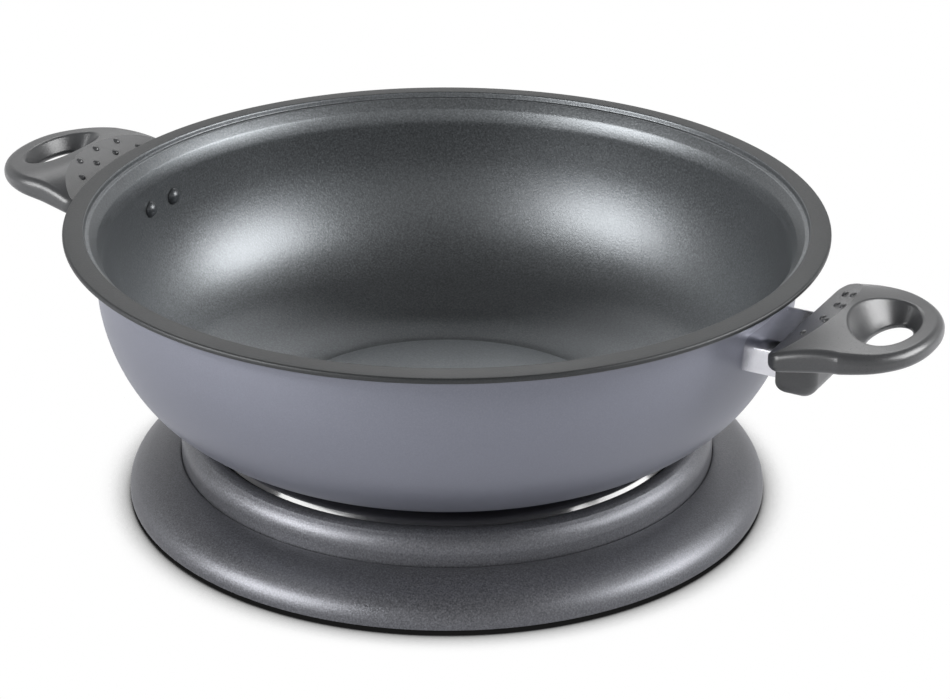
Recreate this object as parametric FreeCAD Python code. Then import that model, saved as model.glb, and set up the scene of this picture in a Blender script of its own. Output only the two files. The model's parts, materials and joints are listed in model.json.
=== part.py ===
import FreeCAD, Part
import math
import os

# Electric wok: a round pan with two side handles that stands in a round two-step base.
# Millimetres. The origin is the middle of the underside of the feet, +Z is up,
# +X points along the handles to the right one, and -Y is the front.

Vector = FreeCAD.Vector

# Bowl of the pan
RIM_RADIUS = 170.0
BOWL_WALL = 2.8
FLOOR_THICK = 3.0
BOWL_BOTTOM_Z = 31.0
FLOOR_FLAT_RADIUS = 80.0
# radius and height along the outside of the bowl, from the flat bottom to below the rim
BOWL_SIDE = [
    (80.0, 31.0),
    (90.0, 32.6),
    (100.0, 35.7),
    (114.5, 42.4),
    (128.8, 50.4),
    (139.3, 60.0),
    (146.2, 70.0),
    (151.2, 81.0),
    (154.9, 95.0),
    (156.0, 108.0),
    (156.0, 119.0),
]
RIM_TOP_Z = 131.2
RIM_FALL = 1.0
FLANGE_THICK = 2.4
FLANGE_INNER_RADIUS = 160.5
LID_LEDGE_Z = 128.4
LID_LEDGE_INNER_RADIUS = 158.4
FOOT_RING_INNER = 88.0
FOOT_RING_OUTER = 92.0

# Seat of the pan in the base
SEAT_SHELF_Z = 30.0
SEAT_INNER_RADIUS = 84.0
SEAT_OUTER_RADIUS = 110.6
SEAT_BOTTOM_Z = 26.0
SEAT_GAP = 0.6

# Upper tier of the base
UPPER_RADIUS = 121.3
UPPER_TOP_Z = 34.6
UPPER_MOUTH_RADIUS = 111.5
SHELL_WALL = 2.5
SHELF_INNER_RADIUS = 86.0

# Lower tier of the base
LOWER_RADIUS = 145.2
LOWER_EDGE_Z = 1.5
TIER_SEAT_Z = 17.5
LEDGE_INNER_RADIUS = 102.0
GROOVE_TOP_Z = 19.7

# Underside of the base
PLATE_RADIUS = LOWER_RADIUS - 3.6
PLATE_Z = 2.0
PLATE_THICK = 2.5
FOOT_RADIUS = 7.0
FOOT_CIRCLE = LOWER_RADIUS - 16.2
BASE_SCREW_CIRCLE = 116.5
TIER_SCREW_CIRCLE = 107.5
SEAT_SCREW_CIRCLE = 98.0
SHIELD_SCREW_CIRCLE = 66.0
SHIELD_Z = 5.5
SHIELD_THICK = 0.8

# Window for the plug-in thermostat at the back
INLET_HALF_WIDTH = 28.5
INLET_WALL = 2.0
INLET_TOP_Z = 23.2
INLET_FRONT_Y = 138.5
INLET_REAR_Y = 86.0
INLET_CLEAR = 0.3

# Heater under the pan
CASTING_RADIUS = 79.0
CASTING_Z = 27.0
ELEMENT_CIRCLE = 62.0
ELEMENT_RADIUS = 3.75
ELEMENT_Z = 24.2
ELEMENT_END_ANGLE = 75.0
ELEMENT_BEND = 6.0
HUMP_HALF = 6.6
HUMP_Z = 21.0
BLOCK_TOP_Z = 20.0
BLOCK_Z = 9.0
PIN_Z = 14.4
PIN_RADIUS = 2.4
PIN_ROOT = 1.8
PIN_ROOT_Y = 60.5
BLOCK_FRONT_Y = 66.5
PIN_TIP_Y = 78.5
PROBE_BORE = 3.3
PROBE_TUBE_RADIUS = 4.2
PROBE_TUBE_START = 8.0
PROBE_TUBE_END = 67.5
COVER_Z = 18.4
COVER_THICK = 0.9
FUSE_RADIUS = 2.2
FUSE_Y = -8.0
FUSE_SCREW_X = 6.8

# Handles and their brackets
BRACKET_HALF_WIDTH = 22.0
BRACKET_TOP_Z = 113.5
BRACKET_BOTTOM_Z = 99.0
BRACKET_PLATE = 2.4
BRACKET_FLANGE_X = 160.0
BRACKET_END_X = 170.3
TONGUE_HALF_WIDTH = 12.0
TONGUE_Z = 102.6
TONGUE_THICK = 5.6
TONGUE_END_X = 184.0
RIVET_PITCH = 19.0
RIVET_Z = 107.0
RIVET_SHANK = 2.1
RIVET_HEAD = 4.1
RIVET_SEAT_GAP = 0.35
HANDLE_START_X = 172.0
HANDLE_TIP_X = 231.0
HANDLE_WIDE_X = HANDLE_START_X + 20.0
HANDLE_HALF_START = 43.5
HANDLE_HALF_WIDE = 40.3
HOLE_X = 209.8
HOLE_HALF_LENGTH = 13.0
HOLE_HALF_WIDTH = 23.4
HOLE_TOP_Z = 124.0
HOLE_TAPER = 0.75
REST_EDGE_Z = 116.8
REST_SLOPE = 0.62
LUG_HALF_WIDTH = 25.0
LUG_START_X = BRACKET_END_X + 0.2
LUG_END_X = 187.5
LUG_BOTTOM_Z = 92.0
HANDLE_SCREW_X = 177.5
SOCKET_CLEAR = 0.1

SCREW_ANGLES = (30, 150, 270)
COVER_ANGLES = (210, 270, 330)

nodes = {}


def polar(radius, degrees, z=0.0):
    angle = math.radians(degrees)
    return Vector(radius * math.cos(angle), radius * math.sin(angle), z)


def cylinder(radius, z_low, z_high, centre=None):
    centre = centre or Vector(0, 0, 0)
    base = Vector(centre.x, centre.y, z_low)
    return Part.makeCylinder(radius, z_high - z_low, base)


def box(x_low, x_high, y_low, y_high, z_low, z_high):
    corner = Vector(x_low, y_low, z_low)
    return Part.makeBox(x_high - x_low, y_high - y_low, z_high - z_low, corner)


def fuse(shapes):
    joined = shapes[0]
    for shape in shapes[1:]:
        joined = joined.fuse(shape)
    return joined.removeSplitter()


def rounded_path(points):
    # Joins (radius, z, corner radius) points by lines, with an arc at each rounded corner.
    edges = []
    here = Vector(points[0][0], 0, points[0][1])
    for index in range(1, len(points)):
        corner = Vector(points[index][0], 0, points[index][1])
        size = points[index][2] if len(points[index]) > 2 else 0.0
        if size <= 0.0 or index == len(points) - 1:
            edges.append(Part.makeLine(here, corner))
            here = corner
            continue
        ahead = Vector(points[index + 1][0], 0, points[index + 1][1])
        back_way = (here - corner).normalize()
        next_way = (ahead - corner).normalize()
        half = back_way.getAngle(next_way) / 2.0
        reach = size / math.tan(half)
        first = corner + back_way * reach
        last = corner + next_way * reach
        middle_way = (back_way + next_way).normalize()
        middle = corner + middle_way * (size / math.sin(half) - size)
        edges.append(Part.makeLine(here, first))
        edges.append(Part.Arc(first, middle, last).toShape())
        here = last
    return edges


def turned(edges):
    face = Part.Face(Part.Wire(Part.__sortEdges__(edges)))
    solid = face.revolve(Vector(0, 0, 0), Vector(0, 0, 1), 360)
    if solid.Volume < 0:
        solid.reverse()
    return solid


def turned_profile(points):
    return turned(rounded_path(points + [points[0]]))


def side_curve():
    curve = Part.BSplineCurve()
    points = [Vector(r, 0, z) for r, z in BOWL_SIDE]
    curve.interpolate(
        Points=points,
        InitialTangent=Vector(1, 0, 0.02),
        FinalTangent=Vector(0, 0, 1),
    )
    return curve


def inner_curve(outside):
    # The inside of the wall: the outside moved in by the wall's thickness.
    points = []
    steps = 14
    first = outside.FirstParameter
    last = outside.LastParameter
    for step in range(steps + 1):
        at = first + (last - first) * step / steps
        point = outside.value(at)
        way = Vector(*outside.tangent(at)[0])
        inward = Vector(-way.z, 0, way.x)
        share = step / steps
        wall = FLOOR_THICK + (BOWL_WALL - FLOOR_THICK) * share
        points.append(point + inward * wall)
    curve = Part.BSplineCurve()
    curve.interpolate(Points=points)
    return curve


def bowl_underside(radius):
    # Height of the bowl's outside at a radius.
    curve = side_curve()
    line = Part.makeLine(Vector(radius, 0, 20), Vector(radius, 0, 60))
    near = curve.toShape().distToShape(line)[1][0][0]
    return near.z


def make_bowl():
    outside = side_curve()
    inside = inner_curve(outside)
    out_start = outside.StartPoint
    out_end = outside.EndPoint
    in_start = inside.StartPoint
    in_end = inside.EndPoint
    rim = rounded_path([
        (out_end.x, out_end.z),
        (out_end.x + 2.2, LID_LEDGE_Z - BOWL_WALL + 0.3, 4.0),
        (RIM_RADIUS, RIM_TOP_Z - RIM_FALL - FLANGE_THICK, 1.1),
        (RIM_RADIUS, RIM_TOP_Z - RIM_FALL, 1.1),
        (FLANGE_INNER_RADIUS, RIM_TOP_Z, 1.0),
        (FLANGE_INNER_RADIUS - 0.3, LID_LEDGE_Z, 0.6),
        (LID_LEDGE_INNER_RADIUS, LID_LEDGE_Z, 0.9),
        (in_end.x + 1.8, LID_LEDGE_Z - 4.4, 4.0),
        (in_end.x, in_end.z),
    ])
    edges = [outside.toShape()] + rim + [inside.toShape()]
    edges.append(Part.makeLine(in_start, Vector(0, 0, in_start.z)))
    edges.append(Part.makeLine(Vector(0, 0, in_start.z), Vector(0, 0, out_start.z)))
    edges.append(Part.makeLine(Vector(0, 0, out_start.z), out_start))
    bowl = turned(edges)
    foot = cylinder(FOOT_RING_OUTER, SEAT_SHELF_Z, BOWL_BOTTOM_Z + 2.6)
    foot = foot.cut(cylinder(FOOT_RING_INNER, 0, 60))
    bowl = bowl.fuse(foot)
    for x_way in (1, -1):
        for y_way in (1, -1):
            start = Vector(x_way * 140.0, y_way * RIVET_PITCH / 2, RIVET_Z)
            hole = Part.makeCylinder(RIVET_SHANK, 30, start, Vector(x_way, 0, 0))
            bowl = bowl.cut(hole)
    return bowl.removeSplitter()


def bowl_envelope():
    # The space inside the bowl's outer surface, to fit the brackets to it.
    outside = side_curve()
    start = outside.StartPoint
    end = outside.EndPoint
    edges = [outside.toShape()]
    edges.append(Part.makeLine(end, Vector(0, 0, end.z)))
    edges.append(Part.makeLine(Vector(0, 0, end.z), Vector(0, 0, start.z)))
    edges.append(Part.makeLine(Vector(0, 0, start.z), start))
    return turned(edges)


def rounded_bar(x_low, x_high, half_width, z_low, z_high, corner):
    # A bar along X with its four long edges rounded.
    bar = box(x_low, x_high, -half_width, half_width, z_low, z_high)
    long_edges = []
    for edge in bar.Edges:
        way = edge.Vertexes[1].Point - edge.Vertexes[0].Point
        if abs(way.x) > abs(way.y) + abs(way.z):
            long_edges.append(edge)
    return bar.makeFillet(corner, long_edges)


def make_bracket(envelope):
    arm = rounded_bar(
        150.0, BRACKET_END_X, BRACKET_HALF_WIDTH, BRACKET_BOTTOM_Z - 8.0, BRACKET_TOP_Z, 5.0)
    arm = arm.cut(box(140, 180, -40, 40, 80, BRACKET_BOTTOM_Z))
    hollow = rounded_bar(
        BRACKET_FLANGE_X,
        BRACKET_END_X - 3.6,
        BRACKET_HALF_WIDTH - BRACKET_PLATE,
        BRACKET_BOTTOM_Z - 12.0,
        BRACKET_TOP_Z - BRACKET_PLATE,
        3.0)
    arm = arm.cut(hollow)
    tongue = box(
        BRACKET_END_X - 1.0, TONGUE_END_X, -TONGUE_HALF_WIDTH, TONGUE_HALF_WIDTH,
        TONGUE_Z, TONGUE_Z + TONGUE_THICK)
    arm = arm.fuse(tongue)
    arm = arm.cut(envelope)
    arm = arm.cut(cylinder(1.7, 90, 120, Vector(HANDLE_SCREW_X, 0, 0)))
    for y_way in (1, -1):
        start = Vector(140.0, y_way * RIVET_PITCH / 2, RIVET_Z)
        arm = arm.cut(Part.makeCylinder(RIVET_SHANK, 25, start, Vector(1, 0, 0)))
    return arm.removeSplitter()


def top_height(x, y):
    # Top of the handle: a ridge along its middle that flattens out round the finger hole.
    ridge = [(160, 131.5, 13.0), (176, 130.5, 11.0), (192, 128.8, 6.5),
             (206, 125.8, 3.0), (220, 123.6, 1.6), (240, 121.6, 1.2)]
    for left, right in zip(ridge[:-1], ridge[1:]):
        if x <= right[0]:
            break
    share = (x - left[0]) / (right[0] - left[0])
    middle = left[1] + (right[1] - left[1]) * share
    droop = left[2] + (right[2] - left[2]) * share
    return middle - droop * (y / 40.0) ** 2


def bottom_height(x):
    line = [(160, 109.6), (176, 110.4), (192, 112.6), (206, 114.0), (220, 114.6), (240, 114.8)]
    for left, right in zip(line[:-1], line[1:]):
        if x <= right[0]:
            break
    share = (x - left[0]) / (right[0] - left[0])
    return left[1] + (right[1] - left[1]) * share


def surface_cutter(height, direction):
    rows = []
    for x in (160, 176, 192, 206, 220, 240):
        rows.append([Vector(x, y, height(x, y)) for y in (-54, -36, -18, 0, 18, 36, 54)])
    surface = Part.BSplineSurface()
    surface.interpolate(rows)
    return surface.toShape().extrude(Vector(0, 0, direction))


def handle_outline():
    # Straight sides from the bowl's end, then a full rounded loop to the tip.
    points = []
    power = 2.25
    steps = 12
    for step in range(steps + 1):
        turn = math.pi / 2 - math.pi * step / steps
        way = 1 if turn >= 0 else -1
        y = way * HANDLE_HALF_WIDE * abs(math.sin(turn)) ** (2 / power)
        x = HANDLE_WIDE_X
        x += (HANDLE_TIP_X - HANDLE_WIDE_X) * abs(math.cos(turn)) ** (2 / power)
        points.append(Vector(x, y, 0))
    slope = (HANDLE_HALF_WIDE - HANDLE_HALF_START) / (HANDLE_WIDE_X - HANDLE_START_X)
    curve = Part.BSplineCurve()
    curve.interpolate(
        Points=points,
        InitialTangent=Vector(1, slope, 0),
        FinalTangent=Vector(-1, slope, 0),
    )
    start = Vector(HANDLE_START_X, HANDLE_HALF_START, 0)
    end = Vector(HANDLE_START_X, -HANDLE_HALF_START, 0)
    edges = [
        Part.makeLine(start, points[0]),
        curve.toShape(),
        Part.makeLine(points[-1], end),
        Part.makeLine(end, start),
    ]
    return Part.Face(Part.Wire(edges))


def finger_hole():
    # An oval funnel that narrows on its way down.
    rings = []
    for z in (HOLE_TOP_Z - 14.0, HOLE_TOP_Z + 8.0):
        spread = HOLE_TAPER * (z - HOLE_TOP_Z)
        oval = Part.Ellipse(
            Vector(0, 0, 0), HOLE_HALF_WIDTH + spread, HOLE_HALF_LENGTH + spread * 0.8)
        ring = Part.Wire([oval.toShape()])
        ring.rotate(Vector(0, 0, 0), Vector(0, 0, 1), 90)
        ring.translate(Vector(HOLE_X, 0, z))
        rings.append(ring)
    return Part.makeLoft(rings, True, True)


def edges_where(shape, test):
    return [edge for edge in shape.Edges if test(edge)]


def make_handle():
    outline = handle_outline()
    outline.translate(Vector(0, 0, 95))
    plate = outline.extrude(Vector(0, 0, 50))
    upright = edges_where(
        plate,
        lambda e: abs(e.BoundBox.ZLength - 50) < 0.01 and e.BoundBox.XMax < HANDLE_START_X + 1)
    plate = plate.makeFillet(6.0, upright)
    plate = plate.cut(surface_cutter(top_height, 60))
    plate = plate.cut(surface_cutter(lambda x, y: bottom_height(x), -60))
    rest_angle = math.degrees(math.atan(REST_SLOPE))
    above = box(-60, 120, -80, 80, 0, 60)
    above.rotate(Vector(0, 0, 0), Vector(0, 1, 0), -rest_angle)
    above.translate(Vector(HANDLE_START_X, 0, REST_EDGE_Z))
    upper = edges_where(
        plate, lambda e: e.BoundBox.ZMin > 117.5 and e.BoundBox.XMax > HANDLE_START_X + 0.1)
    plate = plate.makeFillet(4.2, upper)
    lower = edges_where(
        plate, lambda e: e.BoundBox.ZMax < 116.5 and e.BoundBox.XMax > HANDLE_START_X + 0.1)
    plate = plate.makeFillet(3.4, lower)
    plate = plate.cut(finger_hole())
    ring = edges_where(
        plate,
        lambda e: e.BoundBox.YLength > HOLE_HALF_WIDTH
        and e.BoundBox.XLength < 3 * HOLE_HALF_LENGTH
        and abs(e.BoundBox.Center.x - HOLE_X) < 2.0)
    plate = plate.makeFillet(1.8, ring)
    plate = plate.cut(above)
    lug = box(LUG_START_X, LUG_END_X, -LUG_HALF_WIDTH, LUG_HALF_WIDTH, LUG_BOTTOM_Z, 116.0)
    low = edges_where(lug, lambda e: e.BoundBox.ZMax < LUG_BOTTOM_Z + 0.1)
    lug = lug.makeFillet(7.0, low)
    corners = edges_where(
        lug, lambda e: e.BoundBox.ZLength > 10 and e.BoundBox.XMin > LUG_END_X - 0.1)
    lug = lug.makeFillet(6.0, corners)
    handle = plate.fuse(lug)
    handle = handle.cut(box(150, 172, -60, 60, 113.8, 140))
    pocket = box(
        150, TONGUE_END_X + SOCKET_CLEAR,
        -TONGUE_HALF_WIDTH - SOCKET_CLEAR, TONGUE_HALF_WIDTH + SOCKET_CLEAR,
        TONGUE_Z - SOCKET_CLEAR, TONGUE_Z + TONGUE_THICK + SOCKET_CLEAR)
    handle = handle.cut(pocket)
    screw_line = Vector(HANDLE_SCREW_X, 0, 0)
    handle = handle.cut(cylinder(2.1, 85, TONGUE_Z + 1, screw_line))
    handle = handle.cut(cylinder(3.9, 85, LUG_BOTTOM_Z + 4.0, screw_line))
    bumps = [(184.0, 7.75), (184.0, -7.75), (181.5, 23.0), (181.5, -23.0),
             (189.6, 0.0), (188.2, 15.0), (188.2, -15.0)]
    for x, y in bumps:
        z = REST_EDGE_Z + REST_SLOPE * (x - HANDLE_START_X) - 1.1
        handle = handle.fuse(Part.makeSphere(2.0, Vector(x, y, z)))
    return handle


def half_turned(shape):
    copy = shape.copy()
    copy.rotate(Vector(0, 0, 0), Vector(0, 0, 1), 180)
    return copy


def make_rivet(y):
    # A domed head inside the bowl, a shank through the wall and a flat closed head outside.
    wall_radius = BOWL_SIDE[-1][0] - BOWL_WALL
    inner = math.sqrt(wall_radius ** 2 - y ** 2) - 0.1
    dome = Part.makeSphere(RIVET_HEAD * 1.08, Vector(inner + 1.6, y, RIVET_Z))
    dome = dome.common(Part.makeCylinder(
        RIVET_HEAD, 4, Vector(inner - 3.9, y, RIVET_Z), Vector(1, 0, 0)))
    dome = dome.common(cylinder(wall_radius - RIVET_SEAT_GAP, RIVET_Z - 8, RIVET_Z + 8))
    shank = Part.makeCylinder(
        RIVET_SHANK, BRACKET_FLANGE_X - inner + 0.5,
        Vector(inner - 0.5, y, RIVET_Z), Vector(1, 0, 0))
    head = Part.makeCylinder(
        3.4, 1.6, Vector(BRACKET_FLANGE_X, y, RIVET_Z), Vector(1, 0, 0))
    return fuse([dome, shank, head])


def make_handle_screw():
    line = Vector(HANDLE_SCREW_X, 0, 0)
    head_top = LUG_BOTTOM_Z + 4.0
    head = cylinder(3.5, head_top - 2.4, head_top, line)
    slot = box(HANDLE_SCREW_X - 4, HANDLE_SCREW_X + 4, -0.5, 0.5, head_top - 3, head_top - 1.4)
    head = head.cut(slot)
    shank = cylinder(1.7, head_top - 0.2, TONGUE_Z + TONGUE_THICK, line)
    return fuse([head, shank])


def make_casting():
    # The cast heater body under the bowl: a disc, a hump that holds the tube, bosses and a rib.
    disc = cylinder(CASTING_RADIUS, CASTING_Z, BOWL_BOTTOM_Z)
    hump = turned_profile([
        (ELEMENT_CIRCLE - HUMP_HALF - 1.5, CASTING_Z + 0.5),
        (ELEMENT_CIRCLE - HUMP_HALF, HUMP_Z, 2.0),
        (ELEMENT_CIRCLE + HUMP_HALF, HUMP_Z, 2.0),
        (ELEMENT_CIRCLE + HUMP_HALF + 1.5, CASTING_Z + 0.5),
    ])
    body = [disc, hump]
    for angle in COVER_ANGLES:
        body.append(cylinder(5.0, COVER_Z + COVER_THICK, CASTING_Z + 0.5, polar(40, angle)))
    body.append(box(-6.5, 6.5, PROBE_TUBE_START, 52.0, PIN_Z - 6.2, CASTING_Z + 0.5))
    for x_way in (1, -1):
        body.append(cylinder(4.0, BLOCK_TOP_Z, CASTING_Z + 0.5, Vector(x_way * 21.5, 50.0, 0)))
    casting = fuse(body)
    bore = Part.makeCylinder(
        PROBE_TUBE_RADIUS, 60, Vector(0, PROBE_TUBE_START + 2.0, PIN_Z), Vector(0, 1, 0))
    casting = casting.cut(bore)
    mouth = box(-26, 26, 54.0, 70.0, 5.0, CASTING_Z)
    casting = casting.cut(mouth)
    groove = Part.makeTorus(ELEMENT_CIRCLE, ELEMENT_RADIUS, Vector(0, 0, ELEMENT_Z))
    slit = cylinder(ELEMENT_CIRCLE + ELEMENT_RADIUS, HUMP_Z - 1, ELEMENT_Z)
    slit = slit.cut(cylinder(ELEMENT_CIRCLE - ELEMENT_RADIUS, 0, 60))
    casting = casting.cut(groove.fuse(slit))
    for angle in COVER_ANGLES:
        casting = casting.cut(cylinder(1.3, COVER_Z, CASTING_Z, polar(40, angle)))
    for x_way in (1, -1):
        casting = casting.cut(cylinder(1.3, 10, CASTING_Z, Vector(x_way * 21.5, 50.0, 0)))
        casting = casting.cut(cylinder(
            1.1, CASTING_Z - 1, CASTING_Z + 2.5, Vector(x_way * FUSE_SCREW_X, FUSE_Y, 0)))
    return casting.removeSplitter()


def leg_place():
    angle = math.radians(ELEMENT_END_ANGLE)
    x = ELEMENT_CIRCLE * math.cos(angle) - ELEMENT_BEND * math.sin(angle)
    y = ELEMENT_CIRCLE * math.sin(angle) + ELEMENT_BEND * math.cos(angle)
    return x, y


def make_element():
    # One sheathed tube: nearly a full circle, with both ends bent down into the block.
    low = BLOCK_TOP_Z - 2.0
    x, y = leg_place()
    start = polar(ELEMENT_CIRCLE, ELEMENT_END_ANGLE, ELEMENT_Z)
    other = polar(ELEMENT_CIRCLE, 180 - ELEMENT_END_ANGLE, ELEMENT_Z)
    loop = Part.Arc(start, polar(ELEMENT_CIRCLE, 270, ELEMENT_Z), other).toShape()
    edges = [loop]
    lift = ELEMENT_BEND * (1 - math.cos(math.pi / 4))
    slide = ELEMENT_BEND * math.sin(math.pi / 4)
    for way, corner in ((1, start), (-1, other)):
        along = Vector(way * x, y, ELEMENT_Z) - corner
        along.normalize()
        middle = corner + along * slide - Vector(0, 0, lift)
        foot = Vector(way * x, y, ELEMENT_Z - ELEMENT_BEND)
        edges.append(Part.Arc(corner, middle, foot).toShape())
        if foot.z > low + 0.2:
            edges.append(Part.makeLine(foot, Vector(way * x, y, low)))
    path = Part.Wire(Part.__sortEdges__(edges))
    first = path.OrderedVertexes[0].Point
    section = Part.Wire([Part.makeCircle(ELEMENT_RADIUS, first, Vector(0, 0, 1))])
    return path.makePipeShell([section], True, False)


def make_terminal_block():
    x, y = leg_place()
    block = box(-18.0, 18.0, 54.5, BLOCK_FRONT_Y, BLOCK_Z, BLOCK_TOP_Z)
    upright = edges_where(block, lambda e: e.BoundBox.ZLength > 5)
    block = block.makeFillet(2.0, upright)
    ears = box(-26.0, 26.0, 46.0, 56.0, BLOCK_TOP_Z - 2.5, BLOCK_TOP_Z)
    ears = ears.makeFillet(3.0, edges_where(ears, lambda e: e.BoundBox.ZLength > 1))
    block = block.fuse(ears)
    block = block.cut(box(-6.6, 6.6, 40.0, 53.0, BLOCK_Z - 1, BLOCK_TOP_Z + 1))
    bore = Part.makeCylinder(
        PROBE_TUBE_RADIUS, 30, Vector(0, 45, PIN_Z), Vector(0, 1, 0))
    block = block.cut(bore)
    for way in (1, -1):
        well = cylinder(ELEMENT_RADIUS, BLOCK_TOP_Z - 2.0, BLOCK_TOP_Z + 1, Vector(way * x, y, 0))
        block = block.cut(well)
        seat = Part.makeCylinder(
            PIN_ROOT, 8.0, Vector(way * x, PIN_ROOT_Y, PIN_Z), Vector(0, 1, 0))
        block = block.cut(seat)
        block = block.cut(cylinder(1.6, 10, 25, Vector(way * 21.5, 50.0, 0)))
    return block.removeSplitter()


def make_pin(way):
    x = leg_place()[0]
    pin = Part.makeCylinder(
        PIN_RADIUS, PIN_TIP_Y - BLOCK_FRONT_Y,
        Vector(way * x, BLOCK_FRONT_Y, PIN_Z), Vector(0, 1, 0))
    tip = edges_where(pin, lambda e: e.BoundBox.YMin > PIN_TIP_Y - 0.1)
    pin = pin.makeFillet(1.4, tip)
    root = Part.makeCylinder(
        PIN_ROOT, BLOCK_FRONT_Y - PIN_ROOT_Y + 0.5,
        Vector(way * x, PIN_ROOT_Y, PIN_Z), Vector(0, 1, 0))
    return pin.fuse(root).removeSplitter()


def make_pin_guard():
    # A pressed metal hood round the pins, open towards the plug.
    outer = box(-19.2, 19.2, 60.0, PIN_TIP_Y + 0.5, 7.6, 21.2)
    outer = outer.makeFillet(3.0, edges_where(outer, lambda e: e.BoundBox.YLength > 5))
    guard = outer.cut(box(-18.0, 18.0, 50.0, 90.0, BLOCK_Z, BLOCK_TOP_Z))
    # Its roof starts in front of the block, clear of the element's two ends.
    guard = guard.cut(box(-25.0, 25.0, 50.0, BLOCK_FRONT_Y, 17.6, 30.0))
    return guard.removeSplitter()


def make_probe_tube():
    length = PROBE_TUBE_END - PROBE_TUBE_START - 2.0
    start = Vector(0, PROBE_TUBE_START + 2.0, PIN_Z)
    tube = Part.makeCylinder(PROBE_TUBE_RADIUS, length, start, Vector(0, 1, 0))
    bore = Part.makeCylinder(
        PROBE_BORE, length, start + Vector(0, 1.2, 0), Vector(0, 1, 0))
    return tube.cut(bore)


def make_element_cover():
    # A pressed steel tray that closes the heater from below, cut away round the terminals.
    cover = turned_profile([
        (16.0, COVER_Z),
        (74.0, COVER_Z, 3.0),
        (76.5, 25.0),
        (75.5, 25.0),
        (73.2, COVER_Z + COVER_THICK, 2.0),
        (16.0, COVER_Z + COVER_THICK),
    ])
    cover = cover.cut(box(-30, 30, 5, 90, 0, 40))
    for angle in COVER_ANGLES:
        cover = cover.cut(cylinder(1.7, 0, 40, polar(40, angle)))
    for turn in range(9):
        angle = 150 + turn * 30
        if angle in COVER_ANGLES:
            continue
        slot = box(22.0, 50.0, -2.0, 2.0, 0, 30)
        slot = slot.makeFillet(1.9, edges_where(slot, lambda e: e.BoundBox.ZLength > 20))
        slot.rotate(Vector(0, 0, 0), Vector(0, 0, 1), angle)
        cover = cover.cut(slot)
    return cover.removeSplitter()


def small_screw(place, head_z, tip_z, head_radius, shank_radius, head_height):
    # A pan-head screw with its shank upward from the head's seat, or downward if the tip is low.
    if tip_z > head_z:
        head = cylinder(head_radius, head_z - head_height, head_z, place)
        rim_z = head_z - head_height
        shank = cylinder(shank_radius, head_z - 0.2, tip_z, place)
    else:
        head = cylinder(head_radius, head_z, head_z + head_height, place)
        rim_z = head_z + head_height
        shank = cylinder(shank_radius, tip_z, head_z + 0.2, place)
    edge = edges_where(head, lambda e: abs(e.BoundBox.ZMin - rim_z) < 0.01
                       and e.BoundBox.ZLength < 0.01)
    head = head.makeFillet(head_height * 0.4, edge)
    return head.fuse(shank).removeSplitter()


def make_fuse():
    # The thermal cut-out: a small capsule with a lead at each end, flat under the casting.
    low = Vector(0, FUSE_Y - 6.5, CASTING_Z - FUSE_RADIUS)
    body = Part.makeCylinder(FUSE_RADIUS, 13.0, low, Vector(0, 1, 0))
    leads = Part.makeCylinder(0.6, 21.0, low - Vector(0, 4.0, 0), Vector(0, 1, 0))
    return fuse([body, leads])


def make_fuse_clip():
    # A bent strip over the capsule, with an ear and a screw on each side.
    middle = Vector(0, FUSE_Y - 2.5, CASTING_Z - FUSE_RADIUS)
    outer = FUSE_RADIUS + 0.7
    clip = Part.makeCylinder(outer, 5.0, middle, Vector(0, 1, 0))
    clip = clip.fuse(box(-outer, outer, FUSE_Y - 2.5, FUSE_Y + 2.5, middle.z, CASTING_Z))
    ears = box(-10.0, 10.0, FUSE_Y - 2.5, FUSE_Y + 2.5, CASTING_Z - 0.7, CASTING_Z)
    clip = clip.fuse(ears)
    clip = clip.cut(Part.makeCylinder(
        FUSE_RADIUS, 30, middle - Vector(0, 10, 0), Vector(0, 1, 0)))
    clip = clip.cut(box(
        -FUSE_RADIUS, FUSE_RADIUS, FUSE_Y - 12.0, FUSE_Y + 12.0, middle.z, CASTING_Z + 1))
    for way in (1, -1):
        clip = clip.cut(cylinder(1.3, 10, 40, Vector(way * FUSE_SCREW_X, FUSE_Y, 0)))
    return clip.removeSplitter()


def make_seat_ring():
    crest = 103.0
    low_gap = bowl_underside(97.5) - SEAT_GAP
    crest_z = bowl_underside(crest) - SEAT_GAP
    ring = turned_profile([
        (SEAT_INNER_RADIUS, SEAT_BOTTOM_Z),
        (SEAT_INNER_RADIUS, SEAT_SHELF_Z, 0.8),
        (95.5, SEAT_SHELF_Z, 1.0),
        (97.0, low_gap - 0.6, 1.0),
        (crest, crest_z, 2.0),
        (108.4, crest_z - 0.7, 3.0),
        (SEAT_OUTER_RADIUS, 32.6, 2.0),
        (SEAT_OUTER_RADIUS, SEAT_BOTTOM_Z),
    ])
    for angle in SCREW_ANGLES:
        ring = ring.cut(cylinder(1.3, 20, 30.5, polar(SEAT_SCREW_CIRCLE, angle)))
    return ring


def inlet_window():
    clear = INLET_CLEAR
    half = INLET_HALF_WIDTH + clear
    sill_z = PLATE_Z + PLATE_THICK - clear
    return box(-half, half, INLET_REAR_Y - 4, 160, sill_z, INLET_TOP_Z + clear)


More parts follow.
